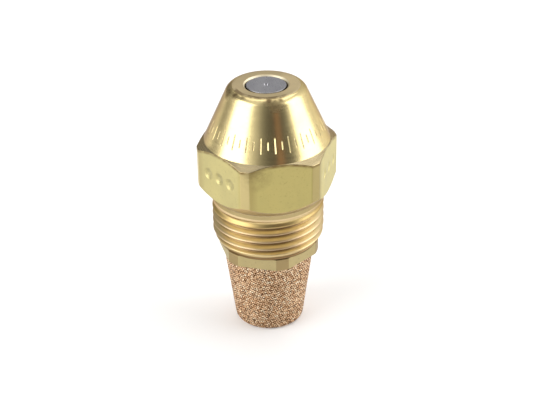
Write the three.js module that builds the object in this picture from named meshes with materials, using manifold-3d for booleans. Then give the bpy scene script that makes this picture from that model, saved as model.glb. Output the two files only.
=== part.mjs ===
// Oil burner nozzle: a brass body with a conical nose, a wrench hexagon and a male thread, a steel
// orifice disc in the nose, a swirl distributor held behind it by a threaded retainer, and a
// sintered bronze filter cup on a small brass hexagon that screws into the back of the body.
//
// Millimetres, +Z up. The origin is the middle of the filter's flat bottom, and the nose points
// up. Depths are measured down from the nose face, the way the parts are assembled.

import * as THREE from "three";
import { mergeVertices } from "three/addons/utils/BufferGeometryUtils.js";
import Module from "manifold-3d";

// ---------------------------------------------------------------------------------------------
// Driving dimensions
// ---------------------------------------------------------------------------------------------

const INCH = 25.4;
const FIT_GAP = 0.3; // left between faces that touch on the real object

// Nozzle body, outside
const BODY_LENGTH = 21.3;
const BODY_HEX_ACROSS_FLATS = (5 / 8) * INCH;
const BODY_HEX_CORNER_RADIUS = 8.85;
const THREAD_MAJOR_RADIUS = ((9 / 16) * INCH) / 2;
const THREAD_PITCH = INCH / 24;
const NOSE_FLAT_RADIUS = 3.88;
const NOSE_SHOULDER_RADIUS = 1.28;
const CONE_HALF_ANGLE = 24.2;
const CONE_END_RADIUS = 7.9;
const CORNER_TOP_DEPTH = 7.7;
const CORNER_BOTTOM_DEPTH = 12.75;
const NECK_RADIUS = 7.05;
const THREAD_START_DEPTH = 15.7;
const THREAD_FIRST_GROOVE_DEPTH = 16.7;
const THREAD_GROOVES = 4;
const THREAD_END_CHAMFER = 0.65;

// Nozzle body, inside
const NOSE_HOLE_RADIUS = 2.645;
const NOSE_HOLE_CHAMFER = 0.15;
const NOSE_WALL = 1.4;
const FRONT_BORE_RADIUS = 3.75;
const RETAINER_BORE_DEPTH = 7.4;
const RETAINER_BORE_RADIUS = 4.1;
const REAR_BORE_DEPTH = 14;
const REAR_BORE_RADIUS = 5.3;

// Orifice disc
const DISC_FACE_DEPTH = 0.06;
const DISC_FACE_RADIUS = 2.48;
const DISC_FLANGE_RADIUS = 3.45;
const DISC_FLANGE_THICKNESS = 1.4;
const DISC_SEAT_RADIUS = 1.9;
const ORIFICE_RADIUS = 0.15;

// Distributor
const DISTRIBUTOR_TIP_RADIUS = 0.45;
const DISTRIBUTOR_HEAD_RADIUS = 3.2;
const DISTRIBUTOR_HEAD_LENGTH = 1.5;
const DISTRIBUTOR_STEM_RADIUS = 2.2;
const DISTRIBUTOR_END_DEPTH = 7.5;
const SWIRL_SLOT_WIDTH = 0.35;
const FEED_GROOVE_WIDTH = 0.9;

// Retainer
const RETAINER_LENGTH = 3.4;
const RETAINER_RADIUS = 3.8;
const RETAINER_PITCH = 1;
const RETAINER_GROOVES = 2;
const RETAINER_BOSS_RADIUS = 2;
const RETAINER_BOSS_HEIGHT = 0.6;
const RETAINER_SLOT_WIDTH = 0.9;
const RETAINER_SLOT_DEPTH = 1;
const RETAINER_FLUTE_RADIUS = 0.8;

// Filter nut
const NUT_ACROSS_FLATS = 12;
const NUT_CORNER_RADIUS = 6.5;
const NUT_HEX_HEIGHT = 1.35;
const NUT_TURN = 3.8; // one corner of the small hexagon, in degrees to the right of the front
const SPIGOT_RADIUS = 5;
const SPIGOT_LENGTH = 5.3;
const SPIGOT_PITCH = 0.75;
const SPIGOT_GROOVES = 4;
const NUT_CHANNEL_RADIUS = 3;
const HUB_RADIUS = 4.1;
const HUB_LENGTH = 2.2;

// Sintered filter
const FILTER_LENGTH = 10.1;
const FILTER_TOP_RADIUS = 5.8;
const FILTER_BOTTOM_RADIUS = 4.5;
const FILTER_MOUTH_RADIUS = 4.45;
const FILTER_MOUTH_DEPTH = 2.6;
const FILTER_INNER_END_RADIUS = 3.2;
const FILTER_FLOOR = 1.4;
const FILTER_EDGE_RADIUS = 0.6;

// Mesh fineness
const ROUND_SEGMENTS = 48;
const SMALL_ROUND_SEGMENTS = 32;
const ARC_STEPS = 5;

// Places along the axis
const NUT_TOP_Z = FILTER_LENGTH + FIT_GAP + NUT_HEX_HEIGHT;
const BODY_REAR_Z = NUT_TOP_Z + FIT_GAP;
const NOSE_Z = BODY_REAR_Z + BODY_LENGTH;

// ---------------------------------------------------------------------------------------------
// Shape helpers
// ---------------------------------------------------------------------------------------------

const wasm = await Module();
wasm.setup();

const radians = (degrees) => (degrees * Math.PI) / 180;

const heightAt = (depth) => NOSE_Z - depth;

// A solid of revolution about Z from [radius, height] pairs, listed up the outside and, where
// there is a bore, back down the inside.
function revolve(profile, segments) {
  const points = profile.map(([radius, height]) => new THREE.Vector2(radius, height));
  const onAxis = points[0].x === 0;
  if (!onAxis) {
    points.push(points[0].clone());
  }
  const geometry = new THREE.LatheGeometry(points, segments);
  return geometry.rotateX(Math.PI / 2);
}

// A straight prism of the outline, an array of [x, y], between two heights.
function prism(outline, bottom, top) {
  const shape = new THREE.Shape(outline.map(([x, y]) => new THREE.Vector2(x, y)));
  const geometry = new THREE.ExtrudeGeometry(shape, { depth: top - bottom, bevelEnabled: false });
  return geometry.translate(0, 0, bottom);
}

// A box given by its middle and its three sizes.
function block(sizeX, sizeY, sizeZ, x, y, z) {
  return new THREE.BoxGeometry(sizeX, sizeY, sizeZ).translate(x, y, z);
}

function rod(radius, bottom, top, segments) {
  return revolve([[0, bottom], [radius, bottom], [radius, top], [0, top]], segments);
}

// The corners of a regular hexagon, with one corner at the given angle from +X.
function hexagon(acrossFlats, cornerAngle) {
  const cornerDistance = acrossFlats / Math.sqrt(3);
  return [0, 1, 2, 3, 4, 5].map((index) => {
    const angle = radians(cornerAngle + 60 * index);
    return [cornerDistance * Math.cos(angle), cornerDistance * Math.sin(angle)];
  });
}

// Points along a round corner, from one angle to the other about its centre.
function arc(centreRadius, centreHeight, cornerRadius, fromDegrees, toDegrees) {
  const points = [];
  for (let step = 0; step <= ARC_STEPS; step += 1) {
    const angle = radians(fromDegrees + ((toDegrees - fromDegrees) * step) / ARC_STEPS);
    points.push([
      centreRadius + cornerRadius * Math.cos(angle),
      centreHeight + cornerRadius * Math.sin(angle),
    ]);
  }
  return points;
}

// Profile points of a 60 degree male thread as plain rings, from its lowest groove upwards.
function threadRings(majorRadius, pitch, lowestGroove, count) {
  const rootRadius = majorRadius - 0.61 * pitch;
  const points = [];
  for (let ring = 0; ring < count; ring += 1) {
    const groove = lowestGroove + ring * pitch;
    points.push([majorRadius, groove - 0.42 * pitch]);
    points.push([rootRadius, groove - 0.07 * pitch]);
    points.push([rootRadius, groove + 0.07 * pitch]);
    points.push([majorRadius, groove + 0.42 * pitch]);
  }
  return points;
}

// Turns a closed geometry into a manifold solid, with shared corners merged and the empty
// triangles at the axis left out.
function solid(geometry) {
  const bare = geometry.clone();
  bare.deleteAttribute("normal");
  bare.deleteAttribute("uv");
  const merged = mergeVertices(bare, 1e-4);
  const corners = merged.index.array;
  const triangles = [];
  for (let start = 0; start < corners.length; start += 3) {
    const [a, b, c] = corners.slice(start, start + 3);
    if (a !== b && b !== c && c !== a) {
      triangles.push(a, b, c);
    }
  }
  return new wasm.Manifold(new wasm.Mesh({
    numProp: 3,
    vertProperties: new Float32Array(merged.attributes.position.array),
    triVerts: new Uint32Array(triangles),
  }));
}

// Cuts the blank and keeps its main body, without the thin slivers that a cut thread leaves.
function cutAll(blank, cutters) {
  const cut = cutters.reduce((left, cutter) => left.subtract(solid(cutter)), blank);
  const bySize = cut.decompose().sort((one, other) => other.volume() - one.volume());
  return bySize[0];
}

// The named mesh of a finished solid.
function piece(name, body, material) {
  const mesh = body.getMesh();
  const geometry = new THREE.BufferGeometry();
  geometry.setAttribute("position", new THREE.Float32BufferAttribute(mesh.vertProperties, 3));
  geometry.setIndex(new THREE.Uint32BufferAttribute(mesh.triVerts, 1));
  geometry.computeVertexNormals();
  const part = new THREE.Mesh(geometry, new THREE.MeshStandardMaterial(material));
  part.name = name;
  return part;
}

// ---------------------------------------------------------------------------------------------
// Pieces
// ---------------------------------------------------------------------------------------------

// The body is turned from hexagon bar: the round profile is cut by the six flats, which meet the
// cone in arcs. The thread on the shank below is made of rings of the thread's own profile.
function nozzleBody() {
  const coneSlope = Math.tan(radians(CONE_HALF_ANGLE));
  const shoulder = arc(
    NOSE_FLAT_RADIUS,
    NOSE_Z - NOSE_SHOULDER_RADIUS,
    NOSE_SHOULDER_RADIUS,
    CONE_HALF_ANGLE,
    90,
  );
  const [shoulderRadius, shoulderHeight] = shoulder[0];
  const coneEndHeight = shoulderHeight - (CONE_END_RADIUS - shoulderRadius) / coneSlope;
  const neckTop = heightAt(CORNER_BOTTOM_DEPTH) - (BODY_HEX_CORNER_RADIUS - NECK_RADIUS);
  const threadTop = heightAt(THREAD_START_DEPTH);
  const threadStep = THREAD_MAJOR_RADIUS - NECK_RADIUS;
  const lowestGroove =
    heightAt(THREAD_FIRST_GROOVE_DEPTH) - (THREAD_GROOVES - 1) * THREAD_PITCH;
  const profile = [
    [THREAD_MAJOR_RADIUS - THREAD_END_CHAMFER, BODY_REAR_Z],
    [THREAD_MAJOR_RADIUS, BODY_REAR_Z + THREAD_END_CHAMFER],
    ...threadRings(THREAD_MAJOR_RADIUS, THREAD_PITCH, lowestGroove, THREAD_GROOVES),
    [THREAD_MAJOR_RADIUS, threadTop - threadStep],
    [NECK_RADIUS, threadTop],
    [NECK_RADIUS, neckTop],
    [BODY_HEX_CORNER_RADIUS, heightAt(CORNER_BOTTOM_DEPTH)],
    [BODY_HEX_CORNER_RADIUS, heightAt(CORNER_TOP_DEPTH)],
    [CONE_END_RADIUS, coneEndHeight],
    ...shoulder,
    [NOSE_HOLE_RADIUS + NOSE_HOLE_CHAMFER, NOSE_Z],
    [NOSE_HOLE_RADIUS, NOSE_Z - NOSE_HOLE_CHAMFER],
    [NOSE_HOLE_RADIUS, heightAt(NOSE_WALL)],
    [FRONT_BORE_RADIUS, heightAt(NOSE_WALL)],
    [FRONT_BORE_RADIUS, heightAt(RETAINER_BORE_DEPTH)],
    [RETAINER_BORE_RADIUS, heightAt(RETAINER_BORE_DEPTH)],
    [RETAINER_BORE_RADIUS, heightAt(REAR_BORE_DEPTH)],
    [REAR_BORE_RADIUS, heightAt(REAR_BORE_DEPTH)],
    [REAR_BORE_RADIUS, BODY_REAR_Z],
  ];
  const turned = solid(revolve(profile, ROUND_SEGMENTS));
  const bar = solid(prism(hexagon(BODY_HEX_ACROSS_FLATS, 0), BODY_REAR_Z - 1, NOSE_Z + 1));
  return turned.intersect(bar);
}

// A stepped disc: its face fills the opening of the nose, its flange seats on the ledge behind,
// and a conical seat at the back runs into the orifice.
function orificeDisc() {
  const flangeTop = NOSE_WALL + FIT_GAP;
  const flangeBottom = flangeTop + DISC_FLANGE_THICKNESS;
  const coneTip = flangeBottom - (DISC_SEAT_RADIUS - ORIFICE_RADIUS);
  return solid(revolve([
    [DISC_SEAT_RADIUS, heightAt(flangeBottom)],
    [DISC_FLANGE_RADIUS, heightAt(flangeBottom)],
    [DISC_FLANGE_RADIUS, heightAt(flangeTop)],
    [DISC_FACE_RADIUS, heightAt(flangeTop)],
    [DISC_FACE_RADIUS, heightAt(DISC_FACE_DEPTH)],
    [ORIFICE_RADIUS, heightAt(DISC_FACE_DEPTH)],
    [ORIFICE_RADIUS, heightAt(coneTip)],
  ], SMALL_ROUND_SEGMENTS));
}

// A cone seated in the back of the disc, with tangential slots that make the oil swirl, and a
// grooved head that the oil passes on its way to them.
function distributor() {
  const discBack = NOSE_WALL + FIT_GAP + DISC_FLANGE_THICKNESS;
  const headTop = discBack + FIT_GAP;
  const headBottom = headTop + DISTRIBUTOR_HEAD_LENGTH;
  const seatGap = FIT_GAP * Math.SQRT2;
  const coneRadius = DISC_SEAT_RADIUS - seatGap + FIT_GAP;
  const tipDepth = headTop - (coneRadius - DISTRIBUTOR_TIP_RADIUS);
  const blank = solid(revolve([
    [0, heightAt(DISTRIBUTOR_END_DEPTH)],
    [DISTRIBUTOR_STEM_RADIUS, heightAt(DISTRIBUTOR_END_DEPTH)],
    [DISTRIBUTOR_STEM_RADIUS, heightAt(headBottom)],
    [DISTRIBUTOR_HEAD_RADIUS, heightAt(headBottom)],
    [DISTRIBUTOR_HEAD_RADIUS, heightAt(headTop)],
    [coneRadius, heightAt(headTop)],
    [DISTRIBUTOR_TIP_RADIUS, heightAt(tipDepth)],
    [0, heightAt(tipDepth)],
  ], SMALL_ROUND_SEGMENTS));
  const cutters = [];
  for (const turn of [0, 90, 180, 270]) {
    const swirlSlot = block(2 * coneRadius, SWIRL_SLOT_WIDTH, 2, coneRadius, 0, 0);
    swirlSlot.rotateY(radians(45));
    swirlSlot.translate(0, DISTRIBUTOR_TIP_RADIUS, heightAt(tipDepth) + 0.55);
    swirlSlot.rotateZ(radians(turn));
    const feedGroove = block(
      FEED_GROOVE_WIDTH,
      FEED_GROOVE_WIDTH,
      DISTRIBUTOR_HEAD_LENGTH + 1,
      DISTRIBUTOR_HEAD_RADIUS,
      0,
      heightAt((headTop + headBottom) / 2),
    );
    feedGroove.rotateZ(radians(turn + 45));
    cutters.push(swirlSlot, feedGroove);
  }
  return cutAll(blank, cutters);
}

// A threaded plug with four flutes for the oil, a screwdriver slot at the back, and a boss in
// front that bears on the distributor.
function retainer() {
  const bossTop = DISTRIBUTOR_END_DEPTH + FIT_GAP;
  const top = bossTop + RETAINER_BOSS_HEIGHT;
  const bottom = top + RETAINER_LENGTH;
  const chamfer = 0.3;
  const blank = solid(revolve([
    [0, heightAt(bottom)],
    [RETAINER_RADIUS - chamfer, heightAt(bottom)],
    ...threadRings(
      RETAINER_RADIUS,
      RETAINER_PITCH,
      heightAt(bottom) + chamfer + RETAINER_PITCH / 2,
      RETAINER_GROOVES,
    ),
    [RETAINER_RADIUS - chamfer, heightAt(top)],
    [RETAINER_BOSS_RADIUS, heightAt(top)],
    [RETAINER_BOSS_RADIUS, heightAt(bossTop)],
    [0, heightAt(bossTop)],
  ], SMALL_ROUND_SEGMENTS));
  const slot = block(
    2 * RETAINER_RADIUS + 1,
    RETAINER_SLOT_WIDTH,
    2 * RETAINER_SLOT_DEPTH,
    0,
    0,
    heightAt(bottom),
  );
  const flutes = [45, 135, 225, 315].map((turn) => {
    const flute = rod(RETAINER_FLUTE_RADIUS, heightAt(bottom + 1), heightAt(top - 1), 12);
    return flute.translate(RETAINER_RADIUS, 0, 0).rotateZ(radians(turn));
  });
  return cutAll(blank, [slot, ...flutes]);
}

// The small hexagon between body and filter, with a threaded spigot above it, a hub that carries
// the filter below it, and a channel for the oil right through.
function filterNut() {
  const hexBottom = NUT_TOP_Z - NUT_HEX_HEIGHT;
  const spigotTop = NUT_TOP_Z + SPIGOT_LENGTH;
  const hubBottom = hexBottom - HUB_LENGTH;
  const relief = SPIGOT_RADIUS - 0.5;
  const chamfer = 0.4;
  const turned = solid(revolve([
    [NUT_CHANNEL_RADIUS, hubBottom],
    [HUB_RADIUS - chamfer, hubBottom],
    [HUB_RADIUS, hubBottom + chamfer],
    [HUB_RADIUS, hexBottom],
    [NUT_CORNER_RADIUS, hexBottom],
    [NUT_CORNER_RADIUS, NUT_TOP_Z],
    [relief, NUT_TOP_Z],
    [relief, NUT_TOP_Z + 0.9],
    ...threadRings(SPIGOT_RADIUS, SPIGOT_PITCH, NUT_TOP_Z + 1.6, SPIGOT_GROOVES),
    [SPIGOT_RADIUS, spigotTop - chamfer],
    [SPIGOT_RADIUS - chamfer, spigotTop],
    [NUT_CHANNEL_RADIUS, spigotTop],
  ], SMALL_ROUND_SEGMENTS));
  const bar = prism(hexagon(NUT_ACROSS_FLATS, NUT_TURN - 90), hubBottom - 1, spigotTop + 1);
  return turned.intersect(solid(bar));
}

// A tapered cup with a thick porous wall, a closed flat bottom and a straight mouth that fits
// over the hub of the nut.
function sinteredFilter() {
  const bottomEdge = arc(
    FILTER_BOTTOM_RADIUS - FILTER_EDGE_RADIUS,
    FILTER_EDGE_RADIUS,
    FILTER_EDGE_RADIUS,
    -90,
    0,
  );
  return solid(revolve([
    [0, 0],
    ...bottomEdge,
    [FILTER_TOP_RADIUS, FILTER_LENGTH],
    [FILTER_MOUTH_RADIUS, FILTER_LENGTH],
    [FILTER_MOUTH_RADIUS, FILTER_LENGTH - FILTER_MOUTH_DEPTH],
    [FILTER_INNER_END_RADIUS, FILTER_FLOOR],
    [0, FILTER_FLOOR],
  ], ROUND_SEGMENTS));
}

// ---------------------------------------------------------------------------------------------
// Assembly
// ---------------------------------------------------------------------------------------------

const BRASS = { color: 0xc2ad62, roughness: 0.32, metalness: 1 };
const DULL_BRASS = { color: 0xb3a66a, roughness: 0.5, metalness: 1 };
const STEEL = { color: 0x8f9199, roughness: 0.35, metalness: 1 };
const BRONZE = { color: 0xb98562, roughness: 0.7, metalness: 0.9 };

const strainer = new THREE.Group();
strainer.add(piece("sintered_filter", sinteredFilter(), BRONZE));
strainer.add(piece("filter_nut", filterNut(), DULL_BRASS));

const metering = new THREE.Group();
metering.add(piece("distributor", distributor(), STEEL));
metering.add(piece("retainer", retainer(), DULL_BRASS));

const nozzle = new THREE.Group();
nozzle.add(piece("nozzle_body", nozzleBody(), BRASS));
nozzle.add(piece("orifice_disc", orificeDisc(), STEEL));
nozzle.add(metering);
nozzle.add(strainer);

export default nozzle;
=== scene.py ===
"""Oil burner nozzle: fine meshes, brass, steel and sintered bronze, floor, light and camera."""

import math

import bmesh
import bpy
import numpy as np
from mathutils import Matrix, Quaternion, Vector
from mathutils.kdtree import KDTree


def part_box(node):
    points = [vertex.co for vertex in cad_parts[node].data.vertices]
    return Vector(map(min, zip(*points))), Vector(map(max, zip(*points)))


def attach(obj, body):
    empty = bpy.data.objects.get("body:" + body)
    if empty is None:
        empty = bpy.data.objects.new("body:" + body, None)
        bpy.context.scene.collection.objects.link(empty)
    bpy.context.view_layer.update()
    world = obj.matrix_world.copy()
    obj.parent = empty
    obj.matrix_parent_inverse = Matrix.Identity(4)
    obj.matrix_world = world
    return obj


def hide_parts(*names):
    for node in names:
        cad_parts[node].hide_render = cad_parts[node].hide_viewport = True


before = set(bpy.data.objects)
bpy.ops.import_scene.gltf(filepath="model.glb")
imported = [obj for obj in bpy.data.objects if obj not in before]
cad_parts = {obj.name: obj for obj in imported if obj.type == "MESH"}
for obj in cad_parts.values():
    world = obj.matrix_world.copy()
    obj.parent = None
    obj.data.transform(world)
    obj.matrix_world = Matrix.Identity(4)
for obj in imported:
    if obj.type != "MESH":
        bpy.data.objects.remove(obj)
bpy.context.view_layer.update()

# ---------------------------------------------------------------------------------------------
# Driving dimensions, in metres unless a note says degrees or shares. A height (_Z) is measured
# up from the filter's flat bottom, and a depth down from the nose face. The overall sizes come
# from the CAD nodes' own boxes.
# ---------------------------------------------------------------------------------------------

MM = 0.001
INCH = 25.4 * MM
FIT_GAP = 0.3 * MM  # between faces that touch on the real object, as in the CAD solids

body_low, body_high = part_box("nozzle_body")
disc_low, disc_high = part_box("orifice_disc")
nut_low, nut_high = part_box("filter_nut")
_, filter_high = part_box("sintered_filter")

NOSE_Z = body_high.z
REAR_Z = body_low.z

# Body, outside
HEX_APOTHEM = body_high.y
HEX_CORNER_RADIUS = body_high.x
HEX_EDGE_SOFTNESS = 0.05 * MM
CORNER_TOP_Z = NOSE_Z - 7.70 * MM
CORNER_BOTTOM_Z = NOSE_Z - 12.75 * MM
EDGE_RADIUS = 0.09 * MM
NECK_RADIUS = 7.05 * MM
NECK_FILLET = 0.25 * MM
CONE_HALF_ANGLE = math.radians(24.2)
CONE_END_RADIUS = 7.88 * MM
SHOULDER_RADIUS = 1.28 * MM
NOSE_FLAT_RADIUS = 3.88 * MM
THREAD_MAJOR_RADIUS = 9 / 16 * INCH / 2
THREAD_PITCH = INCH / 24
THREAD_TOP_Z = NOSE_Z - 15.10 * MM
THREAD_GROOVE_Z = NOSE_Z - 16.7 * MM
THREAD_FADE_TURNS = 1.6
THREAD_TOP_SLOPE = 0.14
THREAD_END_RADIUS = 6.42 * MM
THREAD_END_SLOPE = 0.55
THREAD_ROWS = 144

# Thread form, as shares of the pitch
GROOVE_HALF_WIDTH = 0.4375
GROOVE_DEPTH = 0.6
ROOT_SOFTNESS = 0.2
CREST_SOFTNESS = 0.14

# Body, inside
NOSE_HOLE_RADIUS = 2.645 * MM
NOSE_HOLE_CHAMFER = 0.2 * MM
LEDGE_Z = NOSE_Z - 1.4 * MM
FRONT_BORE_RADIUS = 3.75 * MM
RETAINER_BORE_Z = NOSE_Z - 7.4 * MM
RETAINER_BORE_RADIUS = 4.1 * MM
REAR_BORE_Z = NOSE_Z - 14 * MM
REAR_BORE_RADIUS = 5.3 * MM
REAR_BORE_CHAMFER = 0.3 * MM

# Marks: strokes round the cone, and dimples on two flats
MARK_SPACING = 7.2  # degrees
MARK_DEPTH = 5.0 * MM
MARK_HEIGHT = 1.7 * MM
PIP_DEPTH = 10.2 * MM
PIP_SPACING = 2.0 * MM
PIP_RADIUS = 0.80 * MM

# Filter nut
NUT_APOTHEM = 6 * MM
NUT_CORNER_RADIUS = 6.5 * MM
NUT_TURN = math.radians(3.8)
NUT_HEX_BOTTOM_Z = filter_high.z + FIT_GAP
NUT_HEX_TOP_Z = REAR_Z - 0.04 * MM
SPIGOT_RADIUS = 5 * MM
SPIGOT_PITCH = 0.75 * MM
SPIGOT_RELIEF_RADIUS = 4.5 * MM
SPIGOT_RELIEF_HEIGHT = 0.8 * MM
SPIGOT_ROWS = 90
CHANNEL_RADIUS = 3 * MM
HUB_RADIUS = 4.1 * MM
NUT_CHAMFER = 0.3 * MM

# Sintered filter. Grains are raised in the mesh, and the material draws beads of about their size.
BEAD_SIZE = 0.25 * MM
GRAIN_RADIUS = 0.14 * MM
GRAIN_SPACING = 0.225 * MM
GRAIN_ROW_GAP = 0.87 * GRAIN_SPACING
GRAIN_RELIEF = 0.8
GRAIN_LEVEL = 0.75
GRAIN_JITTER = 0.2
GRAIN_LIFT = 0.2
FILTER_STEP = 0.07 * MM
FILTER_STEPS_AROUND = 500
FILTER_RIM_STEPS = 12
FILTER_TOP_Z = NUT_HEX_BOTTOM_Z - 0.03 * MM
FILTER_TOP_RADIUS = filter_high.x
FILTER_BOTTOM_RADIUS = 4.5 * MM
FILTER_EDGE_RADIUS = 0.6 * MM
FILTER_MOUTH_RADIUS = 4.45 * MM
FILTER_MOUTH_DEPTH = 2.6 * MM
FILTER_INNER_END_RADIUS = 3.2 * MM
FILTER_FLOOR = 1.4 * MM

# Orifice disc
DISC_FACE_RADIUS = 2.48 * MM
DISC_FLANGE_RADIUS = 3.45 * MM
DISC_SEAT_RADIUS = 1.9 * MM
ORIFICE_RADIUS = 0.12 * MM
ORIFICE_DISH_RADIUS = 0.36 * MM
ORIFICE_DISH_DEPTH = 0.32 * MM

# Finish: the colour of stains, and of brass at grazing angles
TARNISH = (0.12, 0.08, 0.04)
GLANCING_TINT = (0.52, 0.44, 0.40, 1)

# Stains on the nose shoulder: a line, then smudges of (azimuth in degrees, radius, size) in mm
TARNISH_RADIUS = 4.05 * MM
TARNISH_LINE_SHARE = 0.84
SMUDGES = [
    (-84, 4.7, 0.9), (-66, 4.5, 0.8), (-50, 4.4, 0.5), (-8, 4.4, 0.8), (1, 4.8, 1.1),
    (8, 4.5, 0.7),
]

# The floor glows a little, as a lit table does, so that its shadows stay faint.
FLOOR_HALF_SIDE = 1.2
FLOOR_GLOW = 0.10

# Softboxes at both sides, and a third above and behind: name, azimuth and elevation in degrees,
# distance, width and height in metres, and power in watts
LAMPS = [
    ("left_box", -77, 22, 0.5, 0.42, 0.46, 1.5),
    ("right_box", 74, 22, 0.5, 0.40, 0.46, 1.2),
    ("ceiling", 168, 68, 0.6, 0.6, 0.44, 1.0),
]

# The studio walls: brightness or colour towards each azimuth in degrees. The dark stretch in
# front has a narrow reddish strip in it, and both sides are bright.
REDDISH = (0.37, 0.22, 0.16)
WALLS = [
    (-180, 0.68), (-172, 0.42), (-140, 0.34), (-118, 0.42), (-104, 0.90), (-60, 1.0), (-46, 0.90),
    (-32, 0.50), (-20, 0.22), (-6, 0.12), (6, 0.11), (10, REDDISH), (16, REDDISH), (20, 0.11),
    (36, 0.16), (50, 0.80), (64, 1.1), (110, 1.1), (140, 0.75), (160, 0.68), (180, 0.68),
]

# Camera, with its angles in degrees
CAMERA_AZIMUTH = -11.64
CAMERA_ELEVATION = 29.89
CAMERA_DISTANCE = 155.9 * MM
CAMERA_AIM_DEPTH = 17 * MM
CAMERA_AIM_RIGHT = -0.127 * MM
CAMERA_AIM_UP = 0.673 * MM
CAMERA_ROLL = -0.88
CAMERA_LENS = 81.78  # millimetres, on a sensor 36 wide


def cone_height(radius):
    """The height of the cone at a radius, from the tangent end of the nose shoulder."""
    start_radius = NOSE_FLAT_RADIUS + SHOULDER_RADIUS * math.cos(CONE_HALF_ANGLE)
    start_z = NOSE_Z - SHOULDER_RADIUS * (1 - math.sin(CONE_HALF_ANGLE))
    return start_z - (radius - start_radius) / math.tan(CONE_HALF_ANGLE)


CONE_END_Z = cone_height(CONE_END_RADIUS)
CHAMFER_SLOPE = (CONE_END_Z - CORNER_TOP_Z) / (HEX_CORNER_RADIUS - CONE_END_RADIUS)
NECK_TOP_Z = CORNER_BOTTOM_Z - (HEX_CORNER_RADIUS - NECK_RADIUS)


# ---------------------------------------------------------------------------------------------
# Mesh helpers
# ---------------------------------------------------------------------------------------------

def direction(azimuth, elevation):
    """Unit vector towards an azimuth and elevation in degrees, azimuth 0 being -Y."""
    turn, climb = math.radians(azimuth), math.radians(elevation)
    level = math.cos(climb)
    return Vector((math.sin(turn) * level, -math.cos(turn) * level, math.sin(climb)))


def soft_min(a, b, softness):
    """The smaller of a and b, with the crease between them rounded over that softness."""
    overlap = np.maximum(softness - np.abs(a - b), 0) / softness
    return np.minimum(a, b) - overlap * overlap * softness / 4


def soft_max(a, b, softness):
    """The larger of a and b, rounded over in the same way."""
    return -soft_min(-a, -b, softness)


def hexagon_radius(angles, apothem, corner_radius, turn):
    """The distance from the axis to a hexagon with turned corners, at each angle from +X.
    One flat faces -Y when turn is 0."""
    sector = math.pi / 3
    from_flat = (angles - turn + math.pi / 2 + sector / 2) % sector - sector / 2
    return soft_min(apothem / np.cos(from_flat), np.full_like(angles, corner_radius),
                    HEX_EDGE_SOFTNESS)


def hexagon_angles(apothem, corner_radius, turn, flat_steps, edge_steps):
    """Angles round a hexagon, close together at the edges between flats and turned corners."""
    half_flat = math.acos(apothem / corner_radius)
    edge = math.radians(1.6)
    sector = math.pi / 3
    stretches = [
        (-sector / 2, -half_flat - edge, 4),
        (-half_flat - edge, -half_flat + edge, edge_steps),
        (-half_flat + edge, half_flat - edge, flat_steps),
        (half_flat - edge, half_flat + edge, edge_steps),
        (half_flat + edge, sector / 2, 4),
    ]
    one_sector = np.concatenate([np.linspace(start, end, steps, endpoint=False)
                                 for start, end, steps in stretches])
    return np.concatenate([one_sector + turn - math.pi / 2 + k * sector for k in range(6)])


def fillet(before, corner, after, radius, steps):
    """Points of a round corner of that radius between two straight stretches."""
    before, corner, after = Vector(before), Vector(corner), Vector(after)
    back, ahead = before - corner, after - corner
    reach = 0.45 * min(back.length, ahead.length)
    back.normalize()
    ahead.normalize()
    half = back.angle(ahead) / 2
    tangent = min(radius / math.tan(half), reach)
    if half > math.radians(89.5) or tangent <= 0:
        return [tuple(corner)] * (steps + 1)
    start, end = corner + back * tangent, corner + ahead * tangent
    radius = tangent * math.tan(half)
    centre = corner + (back + ahead).normalized() * (radius / math.sin(half))
    first, last = start - centre, end - centre
    sweep = first.angle_signed(last)
    points = []
    for step in range(steps + 1):
        turn = -sweep * step / steps
        cosine, sine = math.cos(turn), math.sin(turn)
        points.append((centre.x + first.x * cosine - first.y * sine,
                       centre.y + first.x * sine + first.y * cosine))
    return points


def stretch(start, end, steps):
    """Points strictly between two places on a profile."""
    return [(start[0] + (end[0] - start[0]) * k / steps,
             start[1] + (end[1] - start[1]) * k / steps) for k in range(1, steps)]


def rounded_profile(corners):
    """A closed profile from corners (radius, height, fillet radius, fillet steps, steps to next)."""
    points = []
    count = len(corners)
    rounded = []
    for k, (r, z, size, steps, _) in enumerate(corners):
        before, after = corners[k - 1][:2], corners[(k + 1) % count][:2]
        rounded.append(fillet(before, (r, z), after, size, steps) if steps else [(r, z)])
    for k, corner in enumerate(corners):
        points.extend(rounded[k])
        points.extend(stretch(rounded[k][-1], rounded[(k + 1) % count][0], corner[4]))
    return points


def grid_object(name, angles, radii, heights, closed):
    """A mesh from radius and height for each angle (rows) and profile point (columns). The
    profile closes on itself, or else both its ends lie on the axis."""
    around, along = radii.shape
    x = radii * np.cos(angles)[:, None]
    y = radii * np.sin(angles)[:, None]
    vertices = np.stack([x, y, heights], axis=2).reshape(-1, 3)
    faces = []
    last = along if closed else along - 1
    for i in range(around):
        j = (i + 1) % around
        for k in range(last):
            m = (k + 1) % along
            faces.append((i * along + k, j * along + k, j * along + m, i * along + m))
    mesh = bpy.data.meshes.new(name)
    mesh.from_pydata(vertices.tolist(), [], faces)
    if not closed:
        weld_axis(mesh)
    mesh.validate()
    mesh.shade_smooth()
    piece = bpy.data.objects.new(name, mesh)
    bpy.context.scene.collection.objects.link(piece)
    return piece


def weld_axis(mesh):
    """Joins the vertices that meet on the axis and drops the faces that vanish there."""
    work = bmesh.new()
    work.from_mesh(mesh)
    axis = [v for v in work.verts if v.co.x * v.co.x + v.co.y * v.co.y < (1e-6) ** 2]
    bmesh.ops.remove_doubles(work, verts=axis, dist=1e-6)
    work.to_mesh(mesh)
    work.free()


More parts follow.
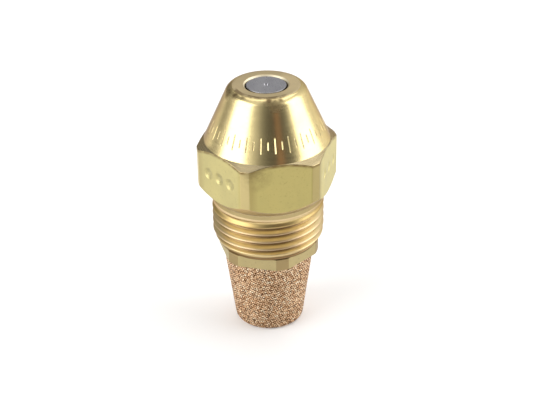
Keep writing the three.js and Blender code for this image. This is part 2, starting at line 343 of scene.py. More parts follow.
def lathe_object(name, profile, steps, closed=True):
    """A round piece from a profile of (radius, height) points, closed or ending on the axis."""
    angles = np.linspace(0, 2 * math.pi, steps, endpoint=False)
    radii = np.tile([p[0] for p in profile], (steps, 1))
    heights = np.tile([p[1] for p in profile], (steps, 1))
    return grid_object(name, angles, radii, heights, closed)


def thread_radius(angles, heights, major, pitch, groove_z, fade_turns):
    """The radius of a right-hand 60 degree thread. groove_z is the height of the first groove
    at the front (-Y), and above it the groove rises out over fade_turns of a turn."""
    turn = (angles + math.pi / 2) / (2 * math.pi)
    turn = turn - np.floor(turn + 0.5)
    offset = (groove_z + pitch * turn[:, None] - heights) / pitch
    groove = np.round(offset)
    from_groove = np.abs(offset - groove) * pitch
    flank = math.sqrt(3) * (GROOVE_HALF_WIDTH * pitch - from_groove)
    root = np.full_like(flank, GROOVE_DEPTH * pitch)
    crest = np.zeros_like(flank)
    depth = soft_max(soft_min(flank, root, ROOT_SOFTNESS * pitch), crest, CREST_SOFTNESS * pitch)
    along_helix = groove - turn[:, None]
    share = np.clip((along_helix + fade_turns) / fade_turns, 0, 1)
    return major - depth * share * share * (3 - 2 * share)


def set_materials(piece, materials, chooser):
    """Gives each face the one of the materials that chooser(centre, normal) returns."""
    for material in materials:
        piece.data.materials.append(material)
    places = {material.name: index for index, material in enumerate(materials)}
    for face in piece.data.polygons:
        face.material_index = places[chooser(face.center, face.normal).name]


# ---------------------------------------------------------------------------------------------
# Materials
# ---------------------------------------------------------------------------------------------

class Nodes:
    """The nodes of a material or of the world, with short ways to make and link them."""

    def __init__(self, owner, shader, coordinates):
        owner.use_nodes = True
        self.owner = owner
        self.tree = owner.node_tree
        self.shader = self.tree.nodes[shader]
        self.place = self.add("ShaderNodeTexCoord").outputs[coordinates]
        self.normal = None

    def add(self, kind, **settings):
        node = self.tree.nodes.new(kind)
        for key, value in settings.items():
            setattr(node, key, value)
        return node

    def link(self, output, target):
        self.tree.links.new(output, target)

    def set(self, socket, value):
        self.shader.inputs[socket].default_value = value

    def noise(self, scale, detail=2.0, roughness=0.5, place=None):
        """Noise with that many lumps to the metre."""
        node = self.add("ShaderNodeTexNoise")
        node.inputs["Scale"].default_value = scale
        node.inputs["Detail"].default_value = detail
        node.inputs["Roughness"].default_value = roughness
        self.link(place or self.place, node.inputs["Vector"])
        return node.outputs["Fac"]

    def stretched(self, x, y, z):
        """The place of the shaded point with each axis scaled."""
        node = self.add("ShaderNodeMapping")
        node.inputs["Scale"].default_value = (x, y, z)
        self.link(self.place, node.inputs["Vector"])
        return node.outputs["Vector"]

    def ramp(self, source, stops):
        """A colour that runs through the stops, each (position, colour), as the source rises."""
        node = self.add("ShaderNodeValToRGB")
        ramp = node.color_ramp
        while len(ramp.elements) < len(stops):
            ramp.elements.new(0.5)
        for element, (position, colour) in zip(ramp.elements, stops):
            element.position = position
            element.color = (*colour, 1)
        self.link(source, node.inputs["Fac"])
        return node.outputs["Color"]

    def span(self, source, low, high, to_low, to_high):
        """Maps low to high onto to_low to to_high, and holds the end values outside them."""
        node = self.add("ShaderNodeMapRange")
        values = (low, high, to_low, to_high)
        for key, value in zip(("From Min", "From Max", "To Min", "To Max"), values):
            node.inputs[key].default_value = value
        self.link(source, node.inputs["Value"])
        return node.outputs["Result"]

    def math(self, operation, a, b=0.0):
        """One Math node, whose inputs are numbers or the outputs of other nodes."""
        node = self.add("ShaderNodeMath", operation=operation)
        for socket, value in zip(node.inputs, (a, b)):
            if isinstance(value, (int, float)):
                socket.default_value = value
            else:
                self.link(value, socket)
        return node.outputs[0]

    def mix(self, share, a, b, blend="MIX"):
        """Colour a with that share of colour b blended in."""
        node = self.add("ShaderNodeMix", data_type="RGBA", blend_type=blend)
        # The Mix node has a set of sockets for each kind of data: 6, 7 and 2 are those for colour.
        for socket, value in ((node.inputs[0], share), (node.inputs[6], a), (node.inputs[7], b)):
            if isinstance(value, (int, float)):
                socket.default_value = value
            elif isinstance(value, tuple):
                socket.default_value = (*value, 1)
            else:
                self.link(value, socket)
        return node.outputs[2]

    def bump(self, height, strength, distance):
        """Raises the surface by the height, on top of any bumps added before."""
        node = self.add("ShaderNodeBump")
        node.inputs["Strength"].default_value = strength
        node.inputs["Distance"].default_value = distance
        self.link(height, node.inputs["Height"])
        if self.normal:
            self.link(self.normal, node.inputs["Normal"])
        self.normal = node.outputs["Normal"]
        self.link(self.normal, self.shader.inputs["Normal"])

    def product(self, *factors):
        """All the factors multiplied together."""
        result = factors[0]
        for factor in factors[1:]:
            result = self.math("MULTIPLY", result, factor)
        return result

    def most(self, *values):
        """The largest of the values at each point."""
        result = values[0]
        for value in values[1:]:
            result = self.math("MAXIMUM", result, value)
        return result

    def coordinates(self):
        """The object-space x, y and z of the shaded point."""
        node = self.add("ShaderNodeSeparateXYZ")
        self.link(self.place, node.inputs[0])
        return node.outputs["X"], node.outputs["Y"], node.outputs["Z"]

    def reach(self):
        """The distance of the shaded point from the axis."""
        node = self.add("ShaderNodeVectorMath", operation="LENGTH")
        self.link(self.stretched(1, 1, 0), node.inputs[0])
        return node.outputs["Value"]

    def azimuth(self):
        """The angle round the axis in degrees: 0 at -Y, 90 at +X."""
        x, y, _ = self.coordinates()
        angle = self.math("ARCTAN2", x, self.math("MULTIPLY", y, -1.0))
        return self.math("MULTIPLY", angle, 180 / math.pi)

    def band(self, source, middle, half_width, fade):
        """1 within half_width of the middle, falling to 0 over the fade beyond that."""
        away = self.math("ABSOLUTE", self.math("SUBTRACT", source, middle))
        return self.span(away, half_width, half_width + fade, 1, 0)

    def near(self, point, radius):
        """1 at a point, falling to 0 at that distance from it."""
        node = self.add("ShaderNodeVectorMath", operation="DISTANCE")
        node.inputs[1].default_value = point
        self.link(self.place, node.inputs[0])
        return self.span(node.outputs["Value"], 0.35 * radius, radius, 1, 0)


def material_nodes(name, metallic=1.0):
    """A new material to be built up in object space, metal unless told otherwise."""
    nodes = Nodes(bpy.data.materials.new(name), "Principled BSDF", "Object")
    nodes.set("Metallic", metallic)
    return nodes


def from_flat(nodes, turn_degrees):
    """Signed degrees round the axis from the middle of the nearest of a hexagon's six flats."""
    shifted = nodes.math("ADD", nodes.azimuth(), 390 - turn_degrees)
    return nodes.math("SUBTRACT", nodes.math("MODULO", shifted, 60.0), 30.0)


def ring_marks(nodes):
    """A row of short upright strokes round the cone, long and short in turn."""
    _, _, z = nodes.coordinates()
    step = nodes.math("ADD", nodes.math("DIVIDE", nodes.azimuth(), MARK_SPACING), 100.0)
    across = nodes.math("ABSOLUTE", nodes.math("SUBTRACT", nodes.math("FRACT", step), 0.5))
    stroke = nodes.span(across, 0.015, 0.095, 1, 0)
    long_one = nodes.math("GREATER_THAN", nodes.math("MODULO", step, 2.0), 1.0)
    reach = nodes.span(long_one, 0, 1, 0.25 * MARK_HEIGHT, 0.5 * MARK_HEIGHT)
    away = nodes.math("ABSOLUTE", nodes.math("SUBTRACT", z, NOSE_Z - MARK_DEPTH))
    inside = nodes.span(nodes.math("SUBTRACT", away, reach), -0.06 * MM, 0.06 * MM, 1, 0)
    return nodes.product(stroke, inside)


def tarnish_mask(nodes):
    """A dark line round the front of the shoulder, with smudges at its left end and centre."""
    line = nodes.product(nodes.band(nodes.reach(), TARNISH_RADIUS, 0.22 * MM, 0.16 * MM),
                         nodes.band(nodes.azimuth(), -30, 48, 12), TARNISH_LINE_SHARE)
    smudges = []
    for azimuth, radius, size in SMUDGES:
        point = direction(azimuth, 0) * radius * MM
        point.z = NOSE_Z - 0.7 * max(radius - 3.9, 0) * MM
        smudges.append(nodes.near(tuple(point), size * MM))
    return nodes.most(line, *smudges)


def turned_brass(name, colour, roughness, marks, anisotropy=0.0):
    """Brass with fine turning marks that run round the axis."""
    nodes = material_nodes(name)
    nodes.set("Specular Tint", GLANCING_TINT)
    rings = nodes.noise(9000, 3, 0.6, nodes.stretched(0.02, 0.02, 1))
    cloud = nodes.noise(450, 3, 0.55)
    shade = nodes.ramp(cloud, [(0.3, tuple(0.88 * c for c in colour)), (0.7, colour)])
    uneven = nodes.span(rings, 0.3, 0.7, roughness * 0.8, roughness * 1.25)
    nodes.link(uneven, nodes.shader.inputs["Roughness"])
    nodes.bump(rings, marks, 0.02 * MM)
    nodes.set("Anisotropic", anisotropy)
    if anisotropy:
        tangent = nodes.add("ShaderNodeTangent", direction_type="RADIAL", axis="Z")
        nodes.link(tangent.outputs["Tangent"], nodes.shader.inputs["Tangent"])
    nodes.link(shade, nodes.shader.inputs["Base Color"])
    return nodes, shade


def add_tarnish(nodes, shade):
    """Stains the brass brown where the tarnish mask says, and makes it rougher there."""
    broken = nodes.span(nodes.noise(900, 3, 0.6), 0.36, 0.52, 0.45, 1)
    stain = nodes.product(tarnish_mask(nodes), broken, 0.92)
    shade = nodes.mix(stain, shade, TARNISH)
    nodes.link(shade, nodes.shader.inputs["Base Color"])
    roughness = nodes.shader.inputs["Roughness"]
    polished = roughness.links[0].from_socket
    nodes.link(nodes.math("ADD", polished, nodes.product(stain, 0.3)), roughness)


def cone_brass():
    """The polished brass of the cone, with its strokes, and a painted shade darkening its left side.
    """
    nodes, shade = turned_brass("cone_brass", (0.82, 0.67, 0.33), 0.19, 0.12, 0.5)
    nodes.bump(ring_marks(nodes), 1.0, -0.05 * MM)
    # Painted shade: the cone's left side is darkened in its colour.
    painted_shade_left_side = nodes.product(nodes.band(nodes.azimuth(), -101, 10, 15), 0.5)
    shade = nodes.mix(painted_shade_left_side, shade, (0.36, 0.29, 0.19))
    add_tarnish(nodes, shade)
    return nodes.owner


def nose_brass():
    """The satin brass of the ring round the disc."""
    nodes, shade = turned_brass("nose_brass", (0.72, 0.595, 0.355), 0.34, 0.25, 0.3)
    add_tarnish(nodes, shade)
    return nodes.owner


def flat_pips(nodes):
    """Round dimples in a row on each of the two flats beside the front one."""
    pips = []
    for side in (-1, 1):
        facing = Vector(direction(60 * side, 0))
        along = Vector((-facing.y, facing.x, 0))
        for place in (-1, 0, 1):
            point = facing * HEX_APOTHEM + along * place * PIP_SPACING
            point.z = NOSE_Z - PIP_DEPTH
            pips.append(nodes.near(tuple(point), PIP_RADIUS))
    return nodes.most(*pips)


def hexagon_brass(name, colour, end_colour, corner_colour, turn_degrees, flat_end):
    """The matte, faintly speckled brass of a drawn hexagon: the flats, each browner at its left
    end, and the turned strips at the corners, which start flat_end degrees from mid-flat."""
    nodes = material_nodes(name)
    speck = nodes.noise(4200, 3, 0.6)
    cloud = nodes.noise(420, 3, 0.5, nodes.stretched(1, 1, 0.5))
    shade = nodes.ramp(cloud, [(0.3, tuple(0.88 * c for c in colour)), (0.7, colour)])
    shade = nodes.mix(nodes.span(speck, 0.58, 0.72, 0, 0.5), shade, tuple(0.6 * c for c in colour))
    turned = from_flat(nodes, turn_degrees)
    shade = nodes.mix(nodes.span(turned, 6.5 - flat_end, 2.0 - flat_end, 0, 0.75), shade, end_colour)
    away = nodes.math("ABSOLUTE", turned)
    shade = nodes.mix(nodes.span(away, flat_end - 0.3, flat_end + 0.3, 0, 1), shade, corner_colour)
    nodes.link(shade, nodes.shader.inputs["Base Color"])
    nodes.link(nodes.span(cloud, 0.3, 0.7, 0.46, 0.56), nodes.shader.inputs["Roughness"])
    nodes.bump(speck, 0.35, 0.02 * MM)
    return nodes, shade


def flat_brass():
    """The big hexagon's brass: painted light makes the side flats paler, painted shade darkens the
    turned strip at +30 degrees, and it is stained near the front flat's top left corner."""
    nodes, shade = hexagon_brass("flat_brass", (0.525, 0.445, 0.172), (0.40, 0.32, 0.125),
                                 (0.56, 0.46, 0.22), 0, 26.2)
    azimuth = nodes.azimuth()
    # Painted light: the side flats are paler and bluer, and those right of the front brighter still.
    side = nodes.span(nodes.math("ABSOLUTE", azimuth), 33, 37, 0, 1)
    shade = nodes.mix(side, shade, (1.10, 1.14, 1.36), "MULTIPLY")
    shade = nodes.mix(nodes.span(azimuth, 34, 44, 0, 1), shade, (1.10, 1.10, 1.12), "MULTIPLY")
    # Painted shade on the turned strip at +30 degrees.
    shade = nodes.mix(nodes.band(azimuth, 30, 3.6, 1.5), shade, (0.74, 0.73, 0.66), "MULTIPLY")
    broken = nodes.span(nodes.noise(700, 3, 0.6), 0.38, 0.60, 0.25, 1)
    stain = nodes.near((-3.0 * MM, -HEX_APOTHEM, NOSE_Z - 8.4 * MM), 2.2 * MM)
    shade = nodes.mix(nodes.product(stain, broken, 0.55), shade, (0.20, 0.15, 0.06))
    _, _, z = nodes.coordinates()
    height = nodes.math("ADD", z, nodes.math("MULTIPLY", nodes.reach(), CHAMFER_SLOPE))
    top_edge = nodes.band(height, CONE_END_Z + CONE_END_RADIUS * CHAMFER_SLOPE, 0.16 * MM, 0.24 * MM)
    worn = nodes.span(nodes.noise(1100, 3, 0.6), 0.38, 0.62, 0.3, 1)
    shade = nodes.mix(nodes.product(top_edge, worn), shade, (0.22, 0.15, 0.06))
    nodes.link(shade, nodes.shader.inputs["Base Color"])
    nodes.bump(flat_pips(nodes), 1.0, -0.28 * MM)
    return nodes.owner


def thread_brass():
    """The thread's brass: painted shade on crests and roots, and a painted golden reflection along
    the first turn.
    """
    nodes = material_nodes("thread_brass")
    nodes.set("Specular Tint", GLANCING_TINT)
    rings = nodes.noise(12000, 3, 0.6, nodes.stretched(0.02, 0.02, 1))
    cloud = nodes.noise(500, 3, 0.55)
    shade = nodes.ramp(cloud, [(0.3, (0.66, 0.52, 0.27)), (0.7, (0.78, 0.63, 0.34))])
    reach = nodes.reach()
    # Painted shade: the crests are darker and pinker.
    crest = nodes.span(reach, THREAD_MAJOR_RADIUS - 0.14 * MM, THREAD_MAJOR_RADIUS - 0.05 * MM, 0, 1)
    shade = nodes.mix(crest, shade, (0.64, 0.48, 0.28))
    _, _, z = nodes.coordinates()
    # Painted reflection: the first turn is golden.
    climb = nodes.math("SUBTRACT", z, nodes.math("MULTIPLY", nodes.azimuth(), THREAD_PITCH / 360))
    painted_reflection_first_turn = nodes.band(climb, THREAD_GROOVE_Z + 0.78 * MM, 0.22 * MM, 0.16 * MM)
    shade = nodes.mix(nodes.product(painted_reflection_first_turn, 0.9), shade, (0.50, 0.36, 0.14))
    # Painted shade: the roots are darkened to brown.
    low = THREAD_MAJOR_RADIUS - GROOVE_DEPTH * THREAD_PITCH
    depth = nodes.span(reach, low + 0.02 * MM, low + 0.26 * MM, 1, 0)
    shade = nodes.mix(nodes.product(depth, 0.88), shade, (0.20, 0.115, 0.05))
    nodes.link(shade, nodes.shader.inputs["Base Color"])
    nodes.set("Roughness", 0.36)
    nodes.bump(rings, 0.3, 0.02 * MM)
    return nodes.owner


def disc_steel():
    """Grey steel with fine grinding marks across the face."""
    nodes = material_nodes("disc_steel")
    grind = nodes.noise(7000, 3, 0.6, nodes.stretched(1, 0.04, 1))
    cloud = nodes.noise(700, 2, 0.5)
    shade = nodes.ramp(cloud, [(0.3, (0.285, 0.28, 0.30)), (0.7, (0.345, 0.34, 0.355))])
    nodes.link(shade, nodes.shader.inputs["Base Color"])
    nodes.link(nodes.span(grind, 0.3, 0.7, 0.24, 0.36), nodes.shader.inputs["Roughness"])
    nodes.bump(grind, 0.2, 0.01 * MM)
    return nodes.owner


def sintered_bronze():
    """Bronze beads of random pinkish colours, with a painted highlight on each bead's top, painted
    shade in the pores between them, and painted shade darker towards the front.
    """
    nodes = material_nodes("sintered_bronze")
    turned = nodes.add("ShaderNodeMapping")
    turned.inputs["Rotation"].default_value = (0.6, 0.35, 0.25)
    nodes.link(nodes.place, turned.inputs["Vector"])
    beads = nodes.add("ShaderNodeTexVoronoi")
    nodes.link(turned.outputs["Vector"], beads.inputs["Vector"])
    beads.inputs["Scale"].default_value = 1 / BEAD_SIZE
    beads.inputs["Randomness"].default_value = 0.35
    distance = beads.outputs["Distance"]
    grain = nodes.ramp(beads.outputs["Color"], [(0.0, (0.62, 0.37, 0.20)), (0.4, (0.84, 0.56, 0.34)),
                                                (0.7, (0.98, 0.74, 0.50)), (1.0, (1.0, 0.94, 0.76))])
    # Painted highlight on each bead's top, and painted shade in the pores.
    painted_bead_highlight_and_pore_shade = nodes.ramp(distance, [(0.26, (1.0, 1.0, 1.0)), (0.45, (0.84, 0.79, 0.72)),
                                 (0.64, (0.14, 0.08, 0.05))])
    shade = nodes.mix(1.0, grain, painted_bead_highlight_and_pore_shade, "MULTIPLY")
    # Painted shade: darker towards the front, a little lighter at the sides.
    from_front = nodes.math("ABSOLUTE", nodes.math("SUBTRACT", nodes.azimuth(), -8.0))
    painted_shade_by_azimuth = nodes.span(from_front, 8, 55, 0.83, 1.04)
    nodes.link(nodes.mix(1.0, shade, painted_shade_by_azimuth, "MULTIPLY"), nodes.shader.inputs["Base Color"])
    nodes.link(nodes.span(distance, 0.3, 0.6, 0.25, 0.6), nodes.shader.inputs["Roughness"])
    nodes.bump(nodes.math("MULTIPLY", distance, distance), 1.0, -0.07 * MM)
    return nodes.owner


CONE_BRASS = cone_brass()
NOSE_BRASS = nose_brass()
CHAMFER_BRASS = turned_brass("chamfer_brass", (0.54, 0.44, 0.25), 0.26, 0.2)[0].owner
NECK_BRASS = turned_brass("neck_brass", (0.46, 0.36, 0.175), 0.34, 0.3)[0].owner
# A paler copy of the brass for the hexagon's underside: painted light.
PAINTED_LIGHT_UNDERSIDE_BRASS = turned_brass("painted_light_underside_brass", (0.72, 0.62, 0.38), 0.4, 0.3)[0].owner
# A near-white copy of the brass for the nose hole's chamfer: a painted highlight.
PAINTED_HIGHLIGHT_RIM_BRASS = turned_brass("painted_highlight_rim_brass", (0.96, 0.86, 0.62), 0.45, 0.2)[0].owner
BORE_BRASS = turned_brass("bore_brass", (0.55, 0.42, 0.2), 0.4, 0.3)[0].owner
FLAT_BRASS = flat_brass()
NUT_BRASS = hexagon_brass("nut_brass", (0.50, 0.41, 0.205), (0.48, 0.39, 0.19), (0.36, 0.27, 0.13),
                          math.degrees(NUT_TURN) + 30, 22.6)[0].owner
THREAD_BRASS = thread_brass()
DISC_STEEL = disc_steel()
SINTERED_BRONZE = sintered_bronze()


# ---------------------------------------------------------------------------------------------
# Pieces
# ---------------------------------------------------------------------------------------------

def body_profile(hexagon_reach):
    """The body's profile at one angle, where the hexagon reaches that far from the axis. The
    thread's stretch is a plain line here, and the thread is cut into it afterwards."""
    top_z = CONE_END_Z - (hexagon_reach - CONE_END_RADIUS) * CHAMFER_SLOPE
    bottom_z = CORNER_BOTTOM_Z - (HEX_CORNER_RADIUS - hexagon_reach)
    apex_radius = NOSE_FLAT_RADIUS + SHOULDER_RADIUS * math.tan((math.pi / 2 - CONE_HALF_ANGLE) / 2)
    return rounded_profile([
        (NECK_RADIUS, REAR_Z, 0, 0, THREAD_ROWS),
        (NECK_RADIUS, THREAD_TOP_Z, 0, 0, 4),
        (NECK_RADIUS, NECK_TOP_Z, NECK_FILLET, 5, 3),
        (hexagon_reach, bottom_z, EDGE_RADIUS, 4, 6),
        (hexagon_reach, top_z, EDGE_RADIUS, 4, 2),
        (CONE_END_RADIUS, CONE_END_Z, 0.02 * MM, 2, 14),
        (apex_radius, NOSE_Z, SHOULDER_RADIUS, 14, 4),
        (NOSE_HOLE_RADIUS + NOSE_HOLE_CHAMFER, NOSE_Z, 0.06 * MM, 3, 2),
        (NOSE_HOLE_RADIUS, NOSE_Z - NOSE_HOLE_CHAMFER, 0.05 * MM, 3, 2),
        (NOSE_HOLE_RADIUS, LEDGE_Z, 0, 0, 1),
        (FRONT_BORE_RADIUS, LEDGE_Z, 0, 0, 3),
        (FRONT_BORE_RADIUS, RETAINER_BORE_Z, 0, 0, 1),
        (RETAINER_BORE_RADIUS, RETAINER_BORE_Z, 0, 0, 3),
        (RETAINER_BORE_RADIUS, REAR_BORE_Z, 0, 0, 1),
        (REAR_BORE_RADIUS, REAR_BORE_Z, 0, 0, 4),
        (REAR_BORE_RADIUS, REAR_Z + REAR_BORE_CHAMFER, 0.05 * MM, 3, 2),
        (REAR_BORE_RADIUS + REAR_BORE_CHAMFER, REAR_Z, 0.05 * MM, 3, 1),
    ])


def body_material(centre, normal):
    """The brass for a face of the body, by where it is and which way it faces."""
    radius = math.hypot(centre.x, centre.y)
    faces_axis = centre.x * normal.x + centre.y * normal.y < -0.3 * radius
    ledge = radius < REAR_BORE_RADIUS and normal.z < -0.5 and centre.z > REAR_Z + 0.5 * MM
    if (faces_axis and centre.z < NOSE_Z - NOSE_HOLE_CHAMFER) or ledge:
        return BORE_BRASS
    if centre.z > NOSE_Z - 0.03 * MM:
        return NOSE_BRASS
    if centre.z > CONE_END_Z - 0.02 * MM:
        # The nose hole's chamfer takes the near-white brass copy, a painted highlight.
        return CONE_BRASS if radius > NOSE_FLAT_RADIUS else PAINTED_HIGHLIGHT_RIM_BRASS
    if radius > HEX_APOTHEM - 0.06 * MM and abs(normal.z) < 0.4:
        return FLAT_BRASS
    if centre.z > CORNER_TOP_Z - 0.2 * MM:
        return CHAMFER_BRASS
    if centre.z > THREAD_TOP_Z:
        # The hexagon's underside takes the paler brass copy, which paints light.
        return PAINTED_LIGHT_UNDERSIDE_BRASS if normal.z < -0.3 else NECK_BRASS
    return THREAD_BRASS


def make_body():
    """The body from rear end to nose, with its bores."""
    angles = hexagon_angles(HEX_APOTHEM, HEX_CORNER_RADIUS, 0, 36, 6)
    reach = hexagon_radius(angles, HEX_APOTHEM, HEX_CORNER_RADIUS, 0)
    profiles = np.array([body_profile(r) for r in reach])
    radii, heights = profiles[:, :, 0], profiles[:, :, 1]
    rows = slice(0, THREAD_ROWS + 1)
    thread = thread_radius(angles, heights[:, rows], THREAD_MAJOR_RADIUS, THREAD_PITCH,
                           THREAD_GROOVE_Z, THREAD_FADE_TURNS)
    chamfer = THREAD_END_RADIUS + THREAD_END_SLOPE * (heights[:, rows] - REAR_Z)
    step_out = NECK_RADIUS + THREAD_TOP_SLOPE * (THREAD_TOP_Z - heights[:, rows])
    thread = soft_min(thread, chamfer, 0.12 * MM)
    radii[:, rows] = soft_min(thread, step_out, 0.05 * MM)
    piece = grid_object("body_shell", angles, radii, heights, closed=True)
    set_materials(piece, [CONE_BRASS, NOSE_BRASS, CHAMFER_BRASS, FLAT_BRASS, NECK_BRASS, BORE_BRASS,
                          THREAD_BRASS, PAINTED_LIGHT_UNDERSIDE_BRASS, PAINTED_HIGHLIGHT_RIM_BRASS], body_material)
    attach(piece, "housing")
    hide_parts("nozzle_body")


def make_nut():
    """The small hexagon with its spigot above and its hub below."""
    turn = NUT_TURN + math.pi / 6
    angles = hexagon_angles(NUT_APOTHEM, NUT_CORNER_RADIUS, turn, 16, 4)
    reach = hexagon_radius(angles, NUT_APOTHEM, NUT_CORNER_RADIUS, turn)
    spigot_top = nut_high.z
    hub_bottom = nut_low.z
    relief_top = NUT_HEX_TOP_Z + SPIGOT_RELIEF_HEIGHT

    def profile(r):
        return rounded_profile([
            (SPIGOT_RELIEF_RADIUS, relief_top, 0, 0, SPIGOT_ROWS),
            (SPIGOT_RELIEF_RADIUS, spigot_top, 0, 0, 3),
            (CHANNEL_RADIUS + NUT_CHAMFER, spigot_top, 0.05 * MM, 3, 2),
            (CHANNEL_RADIUS, spigot_top - NUT_CHAMFER, 0.05 * MM, 3, 4),
            (CHANNEL_RADIUS, hub_bottom, 0, 0, 1),
            (HUB_RADIUS - NUT_CHAMFER, hub_bottom, 0, 0, 1),
            (HUB_RADIUS, hub_bottom + NUT_CHAMFER, 0, 0, 2),
            (HUB_RADIUS, NUT_HEX_BOTTOM_Z, 0, 0, 4),
            (r, NUT_HEX_BOTTOM_Z, 0.06 * MM, 4, 4),
            (r, NUT_HEX_TOP_Z, 0.06 * MM, 4, 4),
            (SPIGOT_RELIEF_RADIUS, NUT_HEX_TOP_Z, 0.1 * MM, 3, 2),
        ])

    profiles = np.array([profile(r) for r in reach])
    radii, heights = profiles[:, :, 0], profiles[:, :, 1]
    rows = slice(0, SPIGOT_ROWS + 1)
    thread = thread_radius(angles, heights[:, rows], SPIGOT_RADIUS, SPIGOT_PITCH,
                           spigot_top + SPIGOT_PITCH, 0.3)
    lead_in = SPIGOT_RELIEF_RADIUS + 0.05 * MM + (spigot_top - heights[:, rows])
    run_out = SPIGOT_RELIEF_RADIUS + (heights[:, rows] - relief_top)
    thread = soft_min(thread, lead_in, 0.08 * MM)
    radii[:, rows] = soft_min(thread, run_out, 0.08 * MM)
    piece = grid_object("filter_nut_brass", angles, radii, heights, closed=True)
    set_materials(piece, [NUT_BRASS, THREAD_BRASS],
                  lambda centre, normal: THREAD_BRASS if centre.z > relief_top else NUT_BRASS)
    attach(piece, "strainer")
    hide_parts("filter_nut")


def make_disc():
    """The stepped steel disc, with a small dished orifice in the middle of its face."""
    face = disc_high.z
    flange_top = LEDGE_Z - FIT_GAP
    back = disc_low.z
    tip = back + (DISC_SEAT_RADIUS - ORIFICE_RADIUS)
    profile = rounded_profile([
        (DISC_SEAT_RADIUS, back, 0, 0, 3),
        (DISC_FLANGE_RADIUS, back, 0.1 * MM, 2, 3),
        (DISC_FLANGE_RADIUS, flange_top, 0.1 * MM, 2, 2),
        (DISC_FACE_RADIUS, flange_top, 0, 0, 3),
        (DISC_FACE_RADIUS, face, 0.07 * MM, 4, 14),
        (ORIFICE_DISH_RADIUS, face, 0.03 * MM, 3, 4),
        (ORIFICE_RADIUS, face - ORIFICE_DISH_DEPTH, 0.02 * MM, 2, 2),
        (ORIFICE_RADIUS, tip, 0, 0, 5),
    ])
    piece = lathe_object("orifice_disc_steel", profile, 128)
    piece.data.materials.append(DISC_STEEL)
    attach(piece, "housing")
    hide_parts("orifice_disc")


def filter_profile(step):
    """The outside of the cup from the middle of its bottom to its rim. Steps are even, but twice
    as long on the flat bottom."""
    edge = FILTER_EDGE_RADIUS
    flat_end = FILTER_BOTTOM_RADIUS - edge
    flat_steps = round(flat_end / step / 2)
    points = [(flat_end * k / flat_steps, 0.0) for k in range(flat_steps)]
    arc_steps = round(edge * math.pi / 2 / step)
    for k in range(arc_steps):
        turn = math.pi / 2 * k / arc_steps
        points.append((flat_end + edge * math.sin(turn), edge * (1 - math.cos(turn))))
    wall = FILTER_TOP_Z - edge
    wall_steps = round(wall / step)
    for k in range(wall_steps + 1):
        share = k / wall_steps
        radius = FILTER_BOTTOM_RADIUS + (FILTER_TOP_RADIUS - FILTER_BOTTOM_RADIUS) * share
        points.append((radius, edge + wall * share))
    return points


def grain_centres(profile, rng):
    """Where the grains are, each (x, y, z, lift), in jittered rings that follow each other along
    the profile."""
    centres = []
    lengths = [0.0]
    for (r0, z0), (r1, z1) in zip(profile, profile[1:]):
        lengths.append(lengths[-1] + math.hypot(r1 - r0, z1 - z0))
    radii = [p[0] for p in profile]
    heights = [p[1] for p in profile]
    rows = int(lengths[-1] / GRAIN_ROW_GAP)
    for row in range(rows + 1):
        at = row * GRAIN_ROW_GAP
        radius = np.interp(at, lengths, radii)
        count = max(1, int(2 * math.pi * radius / GRAIN_SPACING))
        start = rng.random() * 2 * math.pi
        for k in range(count):
            jitter = rng.normal(0, GRAIN_JITTER, 3) * GRAIN_SPACING
            angle = start + 2 * math.pi * (k + jitter[0] / GRAIN_SPACING) / count
            along = min(max(at + jitter[1], 0), lengths[-1])
            r = np.interp(along, lengths, radii)
            z = np.interp(along, lengths, heights)
            centres.append((r * math.cos(angle), r * math.sin(angle), z, GRAIN_LIFT * jitter[2]))
    return centres


def make_filter():
    """The tapered cup, its outside raised into grains with pores between them."""
    rng = np.random.default_rng(7)
    outside = filter_profile(FILTER_STEP)
    inside = [
        (FILTER_MOUTH_RADIUS, FILTER_TOP_Z),
        (FILTER_MOUTH_RADIUS, FILTER_TOP_Z - FILTER_MOUTH_DEPTH),
        (FILTER_INNER_END_RADIUS, FILTER_FLOOR),
        (0.0, FILTER_FLOOR),
    ]
    rim = stretch(outside[-1], inside[0], FILTER_RIM_STEPS)
    piece = lathe_object("filter_grains", outside + rim + inside, FILTER_STEPS_AROUND, closed=False)
    raise_grains(piece, outside + rim, rng)
    piece.data.materials.append(SINTERED_BRONZE)
    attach(piece, "strainer")
    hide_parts("sintered_filter")


def raise_grains(piece, grained_profile, rng):
    """Moves each outer vertex along its normal to the surface of the nearest grain."""
    centres = grain_centres(grained_profile, rng)
    tree = KDTree(len(centres))
    for index, (x, y, z, _) in enumerate(centres):
        tree.insert((x, y, z), index)
    tree.balance()
    mesh = piece.data
    count = len(mesh.vertices)
    places = np.empty(count * 3, np.float32)
    normals = np.empty(count * 3, np.float32)
    mesh.vertices.foreach_get("co", places)
    mesh.vertex_normals.foreach_get("vector", normals)
    places, normals = places.reshape(-1, 3), normals.reshape(-1, 3)
    inner_limit = 0.8 * MM
    wall = FILTER_MOUTH_RADIUS + 0.05 * MM
    outer = (np.hypot(places[:, 0], places[:, 1]) > wall) | (places[:, 2] < inner_limit)
    for vertex in np.flatnonzero(outer):
        _, index, distance = tree.find(places[vertex])
        share = min(distance / GRAIN_RADIUS, 1)
        bulge = math.sqrt(1 - share * share)
        rise = GRAIN_RADIUS * (bulge - GRAIN_LEVEL) * GRAIN_RELIEF + centres[index][3]
        places[vertex] += normals[vertex] * rise
    places[:, 2] = np.maximum(places[:, 2], 0)
    mesh.vertices.foreach_set("co", places.ravel())
    mesh.update()


def finish_hidden_nodes():
    """The distributor and the retainer keep their CAD shape and get a real finish."""
    for name, material in (("distributor", DISC_STEEL), ("retainer", BORE_BRASS)):
        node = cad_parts[name]
        node.data.materials.clear()
        node.data.materials.append(material)


# ---------------------------------------------------------------------------------------------
# Stage, light and camera
# ---------------------------------------------------------------------------------------------

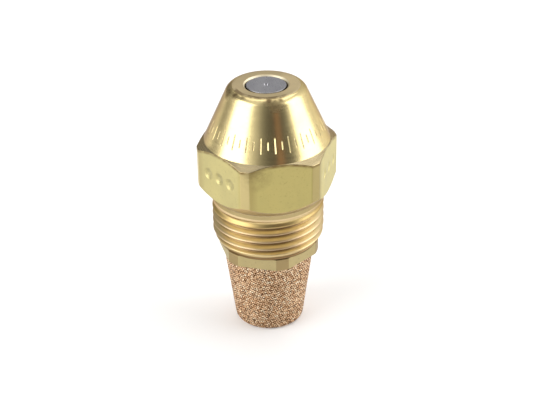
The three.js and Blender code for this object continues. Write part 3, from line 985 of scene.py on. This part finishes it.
def make_floor():
    """A pale matt floor, level with the bottom of the filter."""
    half = FLOOR_HALF_SIDE
    mesh = bpy.data.meshes.new("floor")
    corners = [(-half, -half, 0), (half, -half, 0), (half, half, 0), (-half, half, 0)]
    mesh.from_pydata(corners, [], [(0, 1, 2, 3)])
    floor = bpy.data.objects.new("floor", mesh)
    bpy.context.scene.collection.objects.link(floor)
    nodes = material_nodes("floor_paint", 0.0)
    nodes.link(nodes.ramp(nodes.noise(3), [(0, (0.92, 0.92, 0.92)), (1, (0.94, 0.94, 0.94))]),
               nodes.shader.inputs["Base Color"])
    nodes.set("Roughness", 0.9)
    nodes.set("Emission Color", (1, 1, 1, 1))
    nodes.set("Emission Strength", FLOOR_GLOW)
    mesh.materials.append(nodes.owner)


def softbox(name, azimuth, elevation, distance, width, height, power):
    """A rectangular lamp in that direction, aimed at the middle of the object."""
    light = bpy.data.lights.new(name, "AREA")
    light.shape = "RECTANGLE"
    light.size, light.size_y = width, height
    light.energy = power
    lamp = bpy.data.objects.new(name, light)
    target = Vector((0, 0, NOSE_Z / 2))
    towards = direction(azimuth, elevation)
    lamp.location = target + towards * distance
    lamp.rotation_mode = "QUATERNION"
    lamp.rotation_quaternion = (-towards).to_track_quat("-Z", "Y")
    bpy.context.scene.collection.objects.link(lamp)


def make_lights():
    """The softboxes, and the studio walls, which the brass mirrors."""
    for lamp in LAMPS:
        softbox(*lamp)
    world = bpy.data.worlds.new("studio")
    bpy.context.scene.world = world
    nodes = Nodes(world, "Background", "Generated")
    stops = []
    for azimuth, level in WALLS:
        colour = level if isinstance(level, tuple) else (level, level, level)
        stops.append(((azimuth + 180) / 360, colour))
    around = nodes.span(nodes.azimuth(), -180, 180, 0, 1)
    nodes.link(nodes.ramp(around, stops), nodes.shader.inputs["Color"])


def make_camera():
    """The camera, which looks down at the front of the object, a little from its left."""
    camera = bpy.data.cameras.new("camera")
    camera.lens = CAMERA_LENS
    camera.sensor_width = 36
    camera.clip_start, camera.clip_end = 0.01, 10
    eye = bpy.data.objects.new("camera", camera)
    bpy.context.scene.collection.objects.link(eye)
    towards = direction(CAMERA_AZIMUTH, CAMERA_ELEVATION)
    look = (-towards).to_track_quat("-Z", "Y")
    right, up = look @ Vector((1, 0, 0)), look @ Vector((0, 1, 0))
    target = Vector((0, 0, NOSE_Z - CAMERA_AIM_DEPTH))
    eye.location = target + towards * CAMERA_DISTANCE
    aim = target + right * CAMERA_AIM_RIGHT + up * CAMERA_AIM_UP
    eye.rotation_mode = "QUATERNION"
    look = (aim - eye.location).to_track_quat("-Z", "Y")
    eye.rotation_quaternion = look @ Quaternion((0, 0, 1), math.radians(CAMERA_ROLL))
    bpy.context.scene.camera = eye


make_camera()
make_body()
make_nut()
make_disc()
make_filter()
finish_hidden_nodes()
make_floor()
make_lights()
bpy.context.scene.view_settings.view_transform = "Standard"
